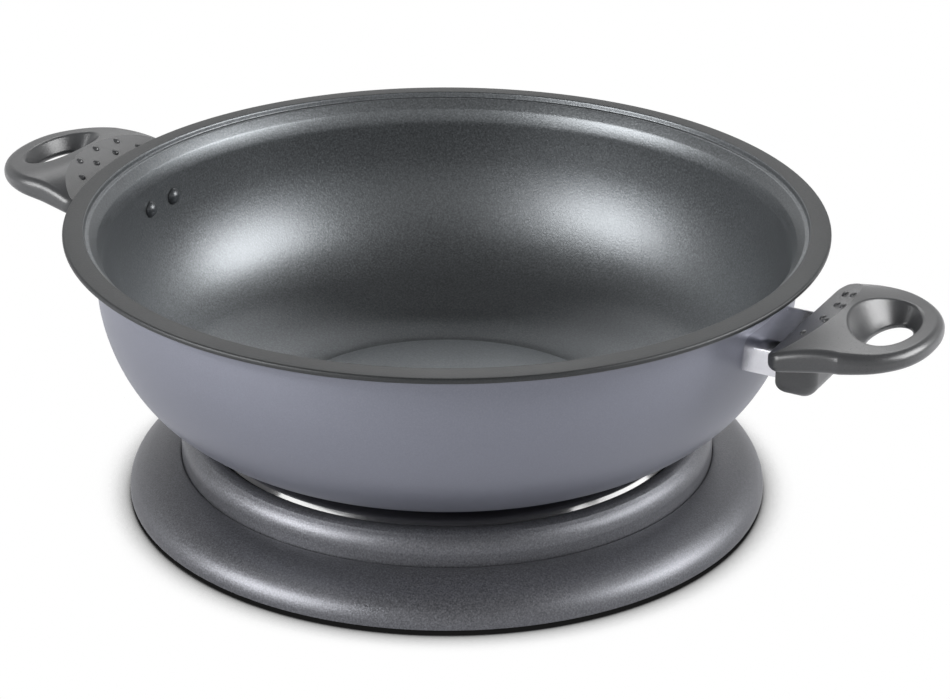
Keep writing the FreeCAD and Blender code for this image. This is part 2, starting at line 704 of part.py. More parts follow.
def make_upper_tier():
    # The raised step: a rounded shoulder, a shelf for the seat ring and three screw posts.
    shelf_top = SEAT_BOTTOM_Z
    shelf_low = SEAT_BOTTOM_Z - SHELL_WALL
    tier = turned_profile([
        (UPPER_RADIUS, TIER_SEAT_Z),
        (UPPER_RADIUS, 29.0, 9.0),
        (115.5, UPPER_TOP_Z, 5.0),
        (UPPER_MOUTH_RADIUS, UPPER_TOP_Z - 0.4, 0.8),
        (UPPER_MOUTH_RADIUS, shelf_top),
        (SHELF_INNER_RADIUS, shelf_top),
        (SHELF_INNER_RADIUS, shelf_low),
        (UPPER_MOUTH_RADIUS + SHELL_WALL, shelf_low),
        (UPPER_MOUTH_RADIUS + SHELL_WALL, UPPER_TOP_Z - SHELL_WALL - 0.6, 1.0),
        (116.0, UPPER_TOP_Z - SHELL_WALL - 0.8, 1.0),
        (UPPER_RADIUS - SHELL_WALL, 27.5, 5.0),
        (UPPER_RADIUS - SHELL_WALL, TIER_SEAT_Z),
    ])
    posts = []
    for angle in SCREW_ANGLES:
        place = polar(TIER_SCREW_CIRCLE, angle)
        posts.append(cylinder(4.2, TIER_SEAT_Z, shelf_low + 0.5, place))
    for turn in range(12):
        rib = box(UPPER_MOUTH_RADIUS + 2.0, UPPER_RADIUS - 1.0, -0.8, 0.8, 19.0, 29.0)
        rib.rotate(Vector(0, 0, 0), Vector(0, 0, 1), 15 + turn * 30)
        posts.append(rib)
    tier = fuse([tier] + posts)
    for angle in SCREW_ANGLES:
        tier = tier.cut(cylinder(1.3, 10, shelf_top - 0.8, polar(TIER_SCREW_CIRCLE, angle)))
        tier = tier.cut(cylinder(1.7, 10, 40, polar(SEAT_SCREW_CIRCLE, angle)))
    tier = tier.cut(inlet_window())
    return tier.removeSplitter()


def skirt_side(foot_corner):
    # The outside of the skirt, from its foot over the shoulder into the groove.
    return [
        (LOWER_RADIUS, LOWER_EDGE_Z, foot_corner),
        (LOWER_RADIUS, 7.0, 5.0),
        (LOWER_RADIUS - 5.7, 14.4, 8.0),
        (UPPER_RADIUS + 2.9, GROOVE_TOP_Z + 0.2, 1.2),
        (UPPER_RADIUS + 0.5, TIER_SEAT_Z, 0.5),
    ]


def make_lower_tier():
    # The wide skirt: a sloping shell with a rounded foot, and a ledge that carries the upper tier.
    ledge_low = TIER_SEAT_Z - SHELL_WALL
    wall = SHELL_WALL
    tier = turned_profile(skirt_side(0.8) + [
        (LEDGE_INNER_RADIUS, TIER_SEAT_Z),
        (LEDGE_INNER_RADIUS, ledge_low),
        (UPPER_RADIUS + 1.7, ledge_low, 2.0),
        (UPPER_RADIUS + 3.2, GROOVE_TOP_Z - wall, 1.0),
        (LOWER_RADIUS - 6.9, 12.2, 5.0),
        (LOWER_RADIUS - wall, 6.0, 3.0),
        (LOWER_RADIUS - wall, LOWER_EDGE_Z),
    ])
    posts = []
    for turn in range(4):
        place = polar(BASE_SCREW_CIRCLE, 45 + turn * 90)
        posts.append(cylinder(4.5, PLATE_Z + 4.5, ledge_low + 0.5, place))
    for turn in range(12):
        rib = box(LOWER_RADIUS - 21.0, LOWER_RADIUS - 1.5, -0.8, 0.8, 5.5, 18.0)
        rib.rotate(Vector(0, 0, 0), Vector(0, 0, 1), turn * 30)
        posts.append(rib)
    tier = fuse([tier] + posts)
    outside = turned_profile(skirt_side(0.0) + [
        (0.0, TIER_SEAT_Z),
        (0.0, LOWER_EDGE_Z),
    ])
    tier = tier.common(outside)
    for turn in range(4):
        tier = tier.cut(cylinder(1.4, 0, ledge_low + 1.0, polar(BASE_SCREW_CIRCLE, 45 + turn * 90)))
    for angle in SCREW_ANGLES:
        tier = tier.cut(cylinder(1.7, 10, 30, polar(TIER_SCREW_CIRCLE, angle)))
    tier = tier.cut(inlet_window())
    return tier.removeSplitter()


def make_base_plate():
    top = PLATE_Z + PLATE_THICK
    plate = cylinder(PLATE_RADIUS, PLATE_Z, top)
    parts = [plate]
    for turn in range(4):
        parts.append(cylinder(5.2, PLATE_Z, PLATE_Z + 4.5, polar(BASE_SCREW_CIRCLE, 45 + turn * 90)))
        parts.append(cylinder(4.0, PLATE_Z, SHIELD_Z, polar(SHIELD_SCREW_CIRCLE, turn * 90)))
    rib = cylinder(133.0, PLATE_Z, top + 1.2).cut(cylinder(131.5, 0, 10))
    rib = rib.cut(box(-40, 40, 60, 160, 0, 20))
    for turn in range(4):
        rib = rib.cut(cylinder(FOOT_RADIUS + 1.5, 0, 20, polar(FOOT_CIRCLE, 45 + turn * 90)))
    parts.append(rib)
    plate = fuse(parts)
    for turn in range(4):
        place = polar(BASE_SCREW_CIRCLE, 45 + turn * 90)
        plate = plate.cut(cylinder(1.7, 0, 20, place))
        plate = plate.cut(cylinder(3.6, 0, PLATE_Z + 2.4, place))
        plate = plate.cut(cylinder(2.6, 0, 20, polar(FOOT_CIRCLE, 45 + turn * 90)))
        plate = plate.cut(cylinder(1.2, PLATE_Z + 0.8, 20, polar(SHIELD_SCREW_CIRCLE, turn * 90)))
    for x_way in (1, -1):
        plate = plate.cut(cylinder(1.2, 0, 20, Vector(x_way * 33.5, 97.0, 0)))
    for ring_radius, count in ((30.0, 8), (48.0, 12)):
        for turn in range(count):
            slot = box(ring_radius - 6.0, ring_radius + 6.0, -1.6, 1.6, 0, 20)
            slot = slot.makeFillet(1.5, edges_where(slot, lambda e: e.BoundBox.ZLength > 10))
            slot.rotate(Vector(0, 0, 0), Vector(0, 0, 1), turn * 360 / count)
            plate = plate.cut(slot)
    return plate.removeSplitter()


def make_heat_shield():
    # A thin bright dish that keeps the heater's heat off the table.
    low = SHIELD_Z
    high = SHIELD_Z + SHIELD_THICK
    shield = turned_profile([
        (0.0, low),
        (96.0, low, 3.0),
        (99.0, 12.0),
        (98.2, 12.0),
        (95.4, high, 2.2),
        (0.0, high),
    ])
    shield = shield.cut(box(-40, 40, 78.0, 120, 0, 40))
    for turn in range(4):
        shield = shield.cut(cylinder(1.5, 0, 20, polar(SHIELD_SCREW_CIRCLE, turn * 90)))
    return shield.removeSplitter()


def make_inlet_frame():
    # The lined opening at the back that the plug of the thermostat goes through.
    floor_z = PLATE_Z + PLATE_THICK
    wall = INLET_WALL
    half = INLET_HALF_WIDTH
    frame = box(-half, half, INLET_REAR_Y, INLET_FRONT_Y, floor_z, INLET_TOP_Z)
    top_edges = edges_where(frame, lambda e: e.BoundBox.YLength > 5 and e.BoundBox.ZMin > 20)
    frame = frame.makeFillet(4.0, top_edges)
    inner = box(
        -half + wall, half - wall, INLET_REAR_Y - 5, INLET_FRONT_Y + 5,
        floor_z + 2.5, INLET_TOP_Z - wall)
    inner_edges = edges_where(inner, lambda e: e.BoundBox.YLength > 5 and e.BoundBox.ZMin > 20)
    inner = inner.makeFillet(2.5, inner_edges)
    frame = frame.cut(inner)
    for x_way in (1, -1):
        low_x = min(x_way * (half - 0.5), x_way * 38.0)
        high_x = max(x_way * (half - 0.5), x_way * 38.0)
        frame = frame.fuse(box(low_x, high_x, 92.0, 102.0, floor_z, floor_z + 3.0))
        frame = frame.cut(cylinder(1.6, 0, 20, Vector(x_way * 33.5, 97.0, 0)))
    return frame.removeSplitter()


def make_foot(place):
    pad = cylinder(FOOT_RADIUS, 0, PLATE_Z, place)
    pad = pad.makeFillet(0.8, edges_where(
        pad, lambda e: e.BoundBox.ZMax < 0.01))
    stem = cylinder(2.6, PLATE_Z - 0.2, PLATE_Z + PLATE_THICK, place)
    bead = Part.makeCone(3.5, 2.0, 2.2, Vector(place.x, place.y, PLATE_Z + PLATE_THICK))
    return fuse([pad, stem, bead])


def group(shapes):
    return Part.makeCompound(shapes)


def build():
    envelope = bowl_envelope()
    nodes["pan_bowl"] = make_bowl()
    bracket = make_bracket(envelope)
    nodes["right_handle_bracket"] = bracket
    nodes["left_handle_bracket"] = half_turned(bracket)
    handle = make_handle()
    nodes["right_handle"] = handle
    nodes["left_handle"] = half_turned(handle)
    rivets = [make_rivet(way * RIVET_PITCH / 2) for way in (1, -1)]
    nodes["bracket_rivets"] = group(rivets + [half_turned(r) for r in rivets])
    screw = make_handle_screw()
    nodes["handle_screws"] = group([screw, half_turned(screw)])
    nodes["heater_casting"] = make_casting()
    nodes["heating_element"] = make_element()
    nodes["terminal_block"] = make_terminal_block()
    nodes["terminal_pins"] = group([make_pin(1), make_pin(-1)])
    nodes["pin_guard"] = make_pin_guard()
    nodes["probe_tube"] = make_probe_tube()
    nodes["element_cover"] = make_element_cover()
    nodes["cover_screws"] = group([
        small_screw(polar(40, angle), COVER_Z, CASTING_Z - 1.0, 3.2, 1.3, 1.8)
        for angle in COVER_ANGLES])
    nodes["terminal_screws"] = group([
        small_screw(Vector(way * 21.5, 50.0, 0), BLOCK_TOP_Z - 2.5, CASTING_Z - 1.0, 2.9, 1.3, 1.8)
        for way in (1, -1)])
    nodes["thermal_fuse"] = make_fuse()
    nodes["fuse_clip"] = make_fuse_clip()
    nodes["fuse_clip_screws"] = group([
        small_screw(Vector(way * FUSE_SCREW_X, FUSE_Y, 0), CASTING_Z - 0.7,
                    CASTING_Z + 2.5, 2.1, 1.1, 1.2)
        for way in (1, -1)])
    nodes["seat_ring"] = make_seat_ring()
    nodes["base_upper_tier"] = make_upper_tier()
    nodes["base_lower_tier"] = make_lower_tier()
    nodes["base_plate"] = make_base_plate()
    nodes["heat_shield"] = make_heat_shield()
    nodes["inlet_frame"] = make_inlet_frame()
    nodes["rubber_feet"] = group([
        make_foot(polar(FOOT_CIRCLE, 45 + turn * 90)) for turn in range(4)])
    nodes["base_screws"] = group([
        small_screw(polar(BASE_SCREW_CIRCLE, 45 + turn * 90), PLATE_Z + 2.4,
                    TIER_SEAT_Z - SHELL_WALL, 3.3, 1.4, 2.0)
        for turn in range(4)])
    nodes["tier_screws"] = group([
        small_screw(polar(TIER_SCREW_CIRCLE, angle), TIER_SEAT_Z - SHELL_WALL, 24.5, 3.2, 1.3, 1.8)
        for angle in SCREW_ANGLES])
    nodes["seat_ring_screws"] = group([
        small_screw(polar(SEAT_SCREW_CIRCLE, angle), SEAT_BOTTOM_Z - SHELL_WALL, 30.0, 3.0, 1.3, 1.6)
        for angle in SCREW_ANGLES])
    nodes["shield_screws"] = group([
        small_screw(polar(SHIELD_SCREW_CIRCLE, turn * 90), SHIELD_Z + SHIELD_THICK,
                    PLATE_Z + 1.0, 2.6, 1.2, 0.7)
        for turn in range(4)])
    nodes["inlet_screws"] = group([
        small_screw(Vector(way * 33.5, 97.0, 0), PLATE_Z + PLATE_THICK + 3.0,
                    PLATE_Z, 2.9, 1.2, 1.6)
        for way in (1, -1)])


build()
os.makedirs("parts", exist_ok=True)
for name, shape in nodes.items():
    shape.exportStep("parts/" + name + ".step")
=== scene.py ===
import json
import math

import bmesh
import bpy
from mathutils import Matrix, Vector


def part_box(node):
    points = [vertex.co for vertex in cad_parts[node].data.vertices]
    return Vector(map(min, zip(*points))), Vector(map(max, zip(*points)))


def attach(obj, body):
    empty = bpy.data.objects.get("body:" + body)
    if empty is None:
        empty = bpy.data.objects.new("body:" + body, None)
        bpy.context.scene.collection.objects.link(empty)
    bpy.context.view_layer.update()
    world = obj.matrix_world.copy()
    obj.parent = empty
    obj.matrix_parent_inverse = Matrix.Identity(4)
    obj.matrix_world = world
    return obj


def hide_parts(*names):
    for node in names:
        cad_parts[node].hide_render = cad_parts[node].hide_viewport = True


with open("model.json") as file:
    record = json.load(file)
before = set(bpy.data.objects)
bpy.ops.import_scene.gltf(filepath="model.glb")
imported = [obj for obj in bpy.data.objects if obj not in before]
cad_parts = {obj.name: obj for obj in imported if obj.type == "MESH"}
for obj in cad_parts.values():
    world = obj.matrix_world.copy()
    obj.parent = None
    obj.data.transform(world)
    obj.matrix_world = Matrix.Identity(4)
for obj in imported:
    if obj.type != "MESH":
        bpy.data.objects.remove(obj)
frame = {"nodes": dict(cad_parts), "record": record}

bl_info = {
    "name": "Electric Wok",
    "version": (1, 0, 0),
    "blender": (4, 5, 0),
    "location": "3D View > Sidebar > Wok",
    "description": "Dresses the pieces of an electric wok and sets its studio",
    "category": "Object",
}


# Lengths of the profiles are in millimetres, everything else is in metres
MM = 1000.0

# How far the drawn rim stays inside the solid one
RIM_GAP = 0.1


# Settings that a user would change

class WokShape(bpy.types.PropertyGroup):
    rim_radius: bpy.props.FloatProperty(
        name="Rim radius", description="Outer edge of the bowl's rim", subtype='DISTANCE',
        unit='LENGTH', default=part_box("pan_bowl")[1].x - RIM_GAP / MM)
    side_wall: bpy.props.FloatProperty(
        name="Side wall", description="Thickness of the bowl's wall under the rim",
        subtype='DISTANCE', unit='LENGTH', default=0.0028)
    floor_wall: bpy.props.FloatProperty(
        name="Floor wall", description="Thickness of the bowl's floor", subtype='DISTANCE',
        unit='LENGTH', default=0.003)
    skirt_radius: bpy.props.FloatProperty(
        name="Skirt radius", description="Outer edge of the base", subtype='DISTANCE',
        unit='LENGTH', default=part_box("base_lower_tier")[1].x)
    skirt_wall: bpy.props.FloatProperty(
        name="Skirt wall", description="Thickness of the base's skirt", subtype='DISTANCE',
        unit='LENGTH', default=0.0025)
    segments: bpy.props.IntProperty(
        name="Segments", description="Steps round a turned piece", default=192, min=48)
    curve_steps: bpy.props.IntProperty(
        name="Curve steps", description="Steps between two points of a curved profile",
        default=5, min=2)
    corner_steps: bpy.props.IntProperty(
        name="Corner steps", description="Steps round a small rounded corner", default=5, min=2)


class WokFinish(bpy.types.PropertyGroup):
    outside: bpy.props.FloatVectorProperty(
        name="Outside", description="Paint on the outside of the bowl", subtype='COLOR',
        size=3, default=(0.142, 0.148, 0.180))
    inside: bpy.props.FloatVectorProperty(
        name="Inside", description="Non-stick coat inside the bowl", subtype='COLOR',
        size=3, default=(0.130, 0.138, 0.145))
    base: bpy.props.FloatVectorProperty(
        name="Base", description="Metallic grey of the base", subtype='COLOR',
        size=3, default=(0.108, 0.110, 0.121))
    handle: bpy.props.FloatVectorProperty(
        name="Handles", description="Moulded handles", subtype='COLOR',
        size=3, default=(0.036, 0.037, 0.039))


class WokStudio(bpy.types.PropertyGroup):
    azimuth: bpy.props.FloatProperty(
        name="Azimuth", description="Turn of the camera round the wok", subtype='ANGLE',
        default=math.radians(28.4))
    elevation: bpy.props.FloatProperty(
        name="Elevation", description="Height of the camera over the table", subtype='ANGLE',
        default=math.radians(24.62))
    distance: bpy.props.FloatProperty(
        name="Distance", description="From the camera to its target", subtype='DISTANCE',
        unit='LENGTH', default=1.398)
    sideways: bpy.props.FloatProperty(
        name="Sideways", description="Target's offset to the camera's right",
        subtype='DISTANCE', unit='LENGTH', default=0.0126)
    target_height: bpy.props.FloatProperty(
        name="Target height", description="Height of the target over the table",
        subtype='DISTANCE', unit='LENGTH', default=0.0654)
    roll: bpy.props.FloatProperty(
        name="Roll", description="Roll of the camera", subtype='ANGLE',
        default=math.radians(0.27))
    lens: bpy.props.FloatProperty(
        name="Lens", description="Focal length", unit='CAMERA', default=116.98)
    light: bpy.props.FloatProperty(
        name="Light", description="Strength of all the lamps together", default=1.0, min=0.0)


# Helpers for node trees and materials

# The mix node's factor and its two colours, and its mixed colour
MIX_COLOUR_INPUTS = (0, 6, 7)
MIX_COLOUR_OUTPUT = 2

# How much the slow patches change the gloss of a surface, each way
PATCH_GLOSS = 0.03

# The bowl's floor has the inside's coat made lighter by the first factor, as a painted reflection
# of the flat floor, and the rim has it darker by the second
FLOOR_REFLECTION_STRENGTH = 2.1
RIM_COAT_STRENGTH = 0.18


class Nodes:
    """A node tree that is written line by line."""

    def __init__(self, tree):
        self.tree = tree

    def add(self, kind, inputs=(), **settings):
        """Adds a node, with a link or a plain value on each given input."""
        node = self.tree.nodes.new(kind)
        for key, value in settings.items():
            setattr(node, key, value)
        for key, value in dict(inputs).items():
            if isinstance(value, bpy.types.NodeSocket):
                self.tree.links.new(value, node.inputs[key])
            else:
                node.inputs[key].default_value = value
        return node

    def math(self, operation, first, second):
        """One operation on two values."""
        return self.add('ShaderNodeMath', {0: first, 1: second}, operation=operation).outputs[0]

    def ranged(self, value, low, high, to_low, to_high):
        """A value moved from one range into another."""
        return self.add('ShaderNodeMapRange', {
            'Value': value, 'From Min': low, 'From Max': high,
            'To Min': to_low, 'To Max': to_high}).outputs['Result']

    def mix(self, factor, first, second):
        """Two colours mixed by a factor."""
        node = self.add('ShaderNodeMix', data_type='RGBA')
        for index, value in zip(MIX_COLOUR_INPUTS, (factor, first, second)):
            if isinstance(value, bpy.types.NodeSocket):
                self.tree.links.new(value, node.inputs[index])
            else:
                node.inputs[index].default_value = value
        return node.outputs[MIX_COLOUR_OUTPUT]


def grain_group():
    """A fine grain: a mask for colour and roughness, and a normal for the surface."""
    group = bpy.data.node_groups.get("Fine Grain")
    if group:
        return group
    group = bpy.data.node_groups.new("Fine Grain", 'ShaderNodeTree')
    for name, value in (("Scale", 900.0), ("Depth", 0.2), ("Patch Scale", 12.0)):
        socket = group.interface.new_socket(
            name=name, in_out='INPUT', socket_type='NodeSocketFloat')
        socket.default_value = value
    for name in ("Grain", "Patches"):
        group.interface.new_socket(name=name, in_out='OUTPUT', socket_type='NodeSocketFloat')
    group.interface.new_socket(name="Normal", in_out='OUTPUT', socket_type='NodeSocketVector')
    n = Nodes(group)
    given = n.add('NodeGroupInput').outputs
    place = n.add('ShaderNodeTexCoord').outputs['Object']
    fine = n.add('ShaderNodeTexNoise', {
        'Vector': place, 'Scale': given["Scale"], 'Detail': 3.0, 'Roughness': 0.6}).outputs['Fac']
    cells = n.add('ShaderNodeTexVoronoi', {
        'Vector': place, 'Scale': given["Scale"]}).outputs['Distance']
    mixed = n.math('MULTIPLY', fine, n.ranged(cells, 0.0, 0.7, 1.15, 0.75))
    patches = n.add('ShaderNodeTexNoise', {
        'Vector': place, 'Scale': given["Patch Scale"], 'Detail': 2.0}).outputs['Fac']
    bump = n.add('ShaderNodeBump', {
        'Strength': given["Depth"], 'Distance': 0.0002, 'Height': mixed})
    n.add('NodeGroupOutput', {
        "Grain": n.ranged(mixed, 0.25, 0.75, 0.0, 1.0),
        "Patches": n.ranged(patches, 0.3, 0.7, 0.0, 1.0),
        "Normal": bump.outputs['Normal']})
    return group


def finish(name, dark, light, rough=(0.35, 0.5), metallic=0.0, coat=0.0, coat_rough=0.2,
           scale=900.0, depth=0.2, patch_scale=12.0, patches=0.25, specular=0.5):
    """One material: grain between a dark and a light tone, and slow patches in its gloss."""
    material = bpy.data.materials.get(name)
    if material:
        return material
    material = bpy.data.materials.new(name)
    material.use_nodes = True
    tree = material.node_tree
    tree.nodes.clear()
    n = Nodes(tree)
    grain = n.add('ShaderNodeGroup', {
        "Scale": scale, "Depth": depth, "Patch Scale": patch_scale}, node_tree=grain_group())
    tone = n.mix(grain.outputs["Grain"], (*dark, 1.0), (*light, 1.0))
    middle = tuple((a + b) / 2 for a, b in zip(dark, light))
    tone = n.mix(n.math('MULTIPLY', grain.outputs["Patches"], patches), tone, (*middle, 1.0))
    gloss = n.math(
        'ADD', n.ranged(grain.outputs["Grain"], 0.0, 1.0, rough[0], rough[1]),
        n.ranged(grain.outputs["Patches"], 0.0, 1.0, -PATCH_GLOSS, PATCH_GLOSS))
    shader = n.add('ShaderNodeBsdfPrincipled', {
        'Base Color': tone, 'Roughness': gloss, 'Normal': grain.outputs["Normal"],
        'Metallic': metallic, 'Coat Weight': coat, 'Coat Roughness': coat_rough,
        'Specular IOR Level': specular})
    n.add('ShaderNodeOutputMaterial', {'Surface': shader.outputs['BSDF']})
    return material


def shades(colour, spread, strength=1.0):
    """A darker and a lighter tone of a colour."""
    dark = tuple(c * (1.0 - spread) * strength for c in colour)
    light = tuple(c * (1.0 + spread) * strength for c in colour)
    return dark, light


def pan_paint():
    dark, light = shades(bpy.context.scene.wok_finish.outside, 0.10)
    return finish("Pan Paint", dark, light, rough=(0.40, 0.48), metallic=0.55,
                  coat=0.15, coat_rough=0.25, scale=1500.0, depth=0.10)


def non_stick():
    dark, light = shades(bpy.context.scene.wok_finish.inside, 0.35)
    return finish("Non Stick", dark, light, rough=(0.36, 0.46), metallic=0.85,
                  coat=0.1, coat_rough=0.35, scale=1100.0, depth=0.35)


# Painted reflection: the inside's coat made lighter on the bowl's flat floor, standing in for the
# light that the floor reflects
def floor_painted_reflection():
    dark, light = shades(bpy.context.scene.wok_finish.inside, 0.2, FLOOR_REFLECTION_STRENGTH)
    return finish("Floor Painted Reflection", dark, light, rough=(0.34, 0.42), metallic=0.85,
                  scale=1100.0, depth=0.2)


def rim_coat():
    dark, light = shades(bpy.context.scene.wok_finish.inside, 0.25, RIM_COAT_STRENGTH)
    return finish("Rim Coat", dark, light, rough=(0.40, 0.52), metallic=0.45,
                  scale=1100.0, depth=0.25)


def base_paint():
    dark, light = shades(bpy.context.scene.wok_finish.base, 0.45)
    return finish("Base Paint", dark, light, rough=(0.36, 0.50), metallic=0.75,
                  coat=0.1, coat_rough=0.35, scale=1300.0, depth=0.40)


def handle_plastic():
    dark, light = shades(bpy.context.scene.wok_finish.handle, 0.15)
    return finish("Handle Plastic", dark, light, rough=(0.30, 0.38), metallic=0.1,
                  coat=0.15, coat_rough=0.25, scale=1400.0, depth=0.18)


def cast_bracket():
    return finish("Cast Bracket", (0.55, 0.55, 0.58), (0.66, 0.66, 0.69), rough=(0.20, 0.27),
                  metallic=1.0, scale=260.0, depth=0.12, patch_scale=90.0)


def coated_rivet():
    return finish("Coated Rivet", (0.035, 0.038, 0.042), (0.055, 0.06, 0.065),
                  rough=(0.30, 0.38), metallic=0.4, coat=0.2, scale=900.0)


def steel_screw():
    return finish("Steel Screw", (0.42, 0.42, 0.44), (0.55, 0.55, 0.57), rough=(0.25, 0.38),
                  metallic=1.0)


def cast_heater():
    return finish("Cast Heater", (0.38, 0.38, 0.39), (0.52, 0.52, 0.53), rough=(0.45, 0.65),
                  metallic=0.9, scale=400.0, depth=0.6)


def element_sheath():
    return finish("Element Sheath", (0.10, 0.09, 0.08), (0.17, 0.15, 0.14), rough=(0.35, 0.5),
                  metallic=0.8, scale=300.0)


def ceramic():
    return finish("Ceramic", (0.66, 0.63, 0.56), (0.74, 0.71, 0.65), rough=(0.5, 0.65),
                  scale=500.0)


def contact_metal():
    return finish("Contact Metal", (0.62, 0.60, 0.56), (0.70, 0.68, 0.64), rough=(0.18, 0.28),
                  metallic=1.0)


def pressed_steel():
    return finish("Pressed Steel", (0.42, 0.42, 0.44), (0.55, 0.55, 0.57), rough=(0.25, 0.4),
                  metallic=1.0, scale=350.0, depth=0.15)


def fuse_metal():
    return finish("Fuse Metal", (0.42, 0.33, 0.15), (0.5, 0.4, 0.2), rough=(0.25, 0.35),
                  metallic=1.0)


def ring_black():
    return finish("Ring Black", (0.010, 0.010, 0.012), (0.016, 0.016, 0.019), rough=(0.12, 0.18),
                  coat=0.6, coat_rough=0.08, scale=700.0, depth=0.04)


def under_plastic():
    return finish("Under Plastic", (0.014, 0.014, 0.015), (0.024, 0.024, 0.026),
                  rough=(0.45, 0.6), scale=800.0, depth=0.4)


def foot_rubber():
    return finish("Foot Rubber", (0.02, 0.02, 0.02), (0.035, 0.035, 0.035), rough=(0.7, 0.85),
                  scale=600.0, depth=0.4)


# The finish of each material slot
FINISHES = {
    "pan_paint": pan_paint,
    "base_paint": base_paint,
    "handle_phenolic": handle_plastic,
    "cast_bracket": cast_bracket,
    "coated_rivet": coated_rivet,
    "steel_screw": steel_screw,
    "cast_heater": cast_heater,
    "element_sheath": element_sheath,
    "ceramic": ceramic,
    "contact_metal": contact_metal,
    "pressed_steel": pressed_steel,
    "fuse_metal": fuse_metal,
    "seat_black": ring_black,
    "under_plastic": under_plastic,
    "rubber_grey": foot_rubber,
}
MATERIAL_SLOTS = {part["node"]: part["material_slot"] for part in frame["record"]["subparts"]}


def dress(name):
    """Puts the finish of a node's material slot on its whole mesh."""
    node = frame["nodes"].get(name)
    if node is None:
        raise RuntimeError(f"the frame has no node named {name}")
    material = FINISHES[MATERIAL_SLOTS[name]]()
    if not node.material_slots:
        node.data.materials.append(material)
    for slot in node.material_slots:
        slot.material = material


# Profiles and turned pieces

def smooth_line(points, steps, start_way, end_way):
    """A smooth line through (radius, height) points, with its first and last directions."""
    known = [Vector((x, z)) for x, z in points]
    ways = []
    for index, point in enumerate(known):
        if index == 0:
            ways.append(Vector(start_way) * (known[1] - point).length)
        elif index == len(known) - 1:
            ways.append(Vector(end_way) * (point - known[-2]).length)
        else:
            before = point - known[index - 1]
            after = known[index + 1] - point
            way = before.normalized() * after.length + after.normalized() * before.length
            ways.append(way)
    line = []
    for index in range(len(known) - 1):
        first, last = known[index], known[index + 1]
        span = (last - first).length
        first_way = ways[index].normalized() * span
        last_way = ways[index + 1].normalized() * span
        for step in range(steps):
            t = step / steps
            line.append(first * (2 * t ** 3 - 3 * t ** 2 + 1)
                        + first_way * (t ** 3 - 2 * t ** 2 + t)
                        + last * (3 * t ** 2 - 2 * t ** 3)
                        + last_way * (t ** 3 - t ** 2))
    line.append(known[-1])
    return line


def moved_in(line, start_wall, end_wall):
    """The same line moved in by the wall's thickness."""
    moved = []
    for index, point in enumerate(line):
        before = line[max(index - 1, 0)]
        after = line[min(index + 1, len(line) - 1)]
        way = (after - before).normalized()
        share = index / (len(line) - 1)
        wall = start_wall + (end_wall - start_wall) * share
        moved.append(point + Vector((-way.y, way.x)) * wall)
    return moved


def rounded(points, steps):
    """(radius, height, corner radius) points, with an arc at each rounded corner."""
    line = []
    for index, point in enumerate(points):
        corner = Vector(point[:2])
        size = point[2] if len(point) > 2 else 0.0
        if size <= 0.0:
            line.append(corner)
            continue
        back = (Vector(points[index - 1][:2]) - corner).normalized()
        ahead = (Vector(points[(index + 1) % len(points)][:2]) - corner).normalized()
        half = back.angle(ahead) / 2
        reach = size / math.tan(half)
        middle = corner + (back + ahead).normalized() * (size / math.sin(half))
        first = corner + back * reach - middle
        last = corner + ahead * reach - middle
        turn = first.angle_signed(last)
        for step in range(steps + 1):
            line.append(middle + Matrix.Rotation(-turn * step / steps, 2) @ first)
    return line


def turned(name, line, closed=True):
    """Spins a profile in millimetres round Z into a mesh in metres."""
    mesh = bpy.data.meshes.new(name)
    bm = bmesh.new()
    verts = [bm.verts.new((point.x / MM, 0.0, point.y / MM)) for point in line]
    edges = [bm.edges.new(pair) for pair in zip(verts[:-1], verts[1:])]
    if closed:
        edges.append(bm.edges.new((verts[-1], verts[0])))
    bmesh.ops.spin(
        bm, geom=verts + edges, cent=(0, 0, 0), axis=(0, 0, 1), angle=2 * math.pi,
        steps=bpy.context.scene.wok_shape.segments, use_merge=True, use_duplicate=False)
    bmesh.ops.remove_doubles(bm, verts=bm.verts, dist=1e-6)
    bmesh.ops.recalc_face_normals(bm, faces=bm.faces)
    bm.to_mesh(mesh)
    bm.free()
    mesh.shade_smooth()
    piece = bpy.data.objects.new(name, mesh)
    bpy.context.scene.collection.objects.link(piece)
    return piece


def sharp_by_angle(piece, degrees):
    """Keeps the edges sharp where two faces meet at more than this angle."""
    bm = bmesh.new()
    bm.from_mesh(piece.data)
    limit = math.radians(degrees)
    for edge in bm.edges:
        edge.smooth = not (len(edge.link_faces) == 2 and edge.calc_face_angle(0.0) > limit)
    bm.to_mesh(piece.data)
    bm.free()


# Outside of the bowl, from the edge of its flat floor up to the straight wall under the rim
WALL_RADIUS = 156.0
WALL_TOP_Z = 119.0
FLOOR_Z = 31.0
BOWL_SIDE = [(80.0, FLOOR_Z), (90.0, 32.6), (100.0, 35.7), (114.5, 42.4), (128.8, 50.4),
             (139.3, 60.0), (146.2, 70.0), (151.2, 81.0), (154.9, 95.0), (WALL_RADIUS, 108.0),
             (WALL_RADIUS, WALL_TOP_Z)]
# Radius of a ring of corners on the flat floor inside
FLOOR_RING_RADIUS = 45.0

# Flare of the wall into the rim, outside and inside
FLARE_RADIUS = 158.2
FLARE_Z = 125.9
NECK_RADIUS = 155.0
NECK_Z = 124.0
FLARE_ROUND = 4.0
# Rolled outer edge of the rim
EDGE_LOW_Z = 127.8
EDGE_HIGH_Z = 130.2
EDGE_ROUND = 1.1
# Crest of the rim and the ledge inside it that a lid would stand on
CREST_RADIUS = 160.5
CREST_Z = 131.1
CREST_ROUND = 1.0
STEP_RADIUS = 160.2
STEP_ROUND = 0.6
LEDGE_RADIUS = 158.4
LEDGE_Z = 128.4
LEDGE_ROUND = 0.9

# Where each coat of the bowl, and the painted reflection on its floor, starts
RIM_COAT_Z = 126.2
RIM_COAT_RADIUS = 160.8
FLOOR_REFLECTION_RADIUS = 78.5
FLOOR_FACES_BELOW_Z = 100.0
# A face is inside where its direction points in by more than the first, or up by more than the
# second, and it is under the rim where it points down by more than the third
LEANS_IN = -0.02
LOOKS_UP = 0.5
LOOKS_DOWN = -0.3
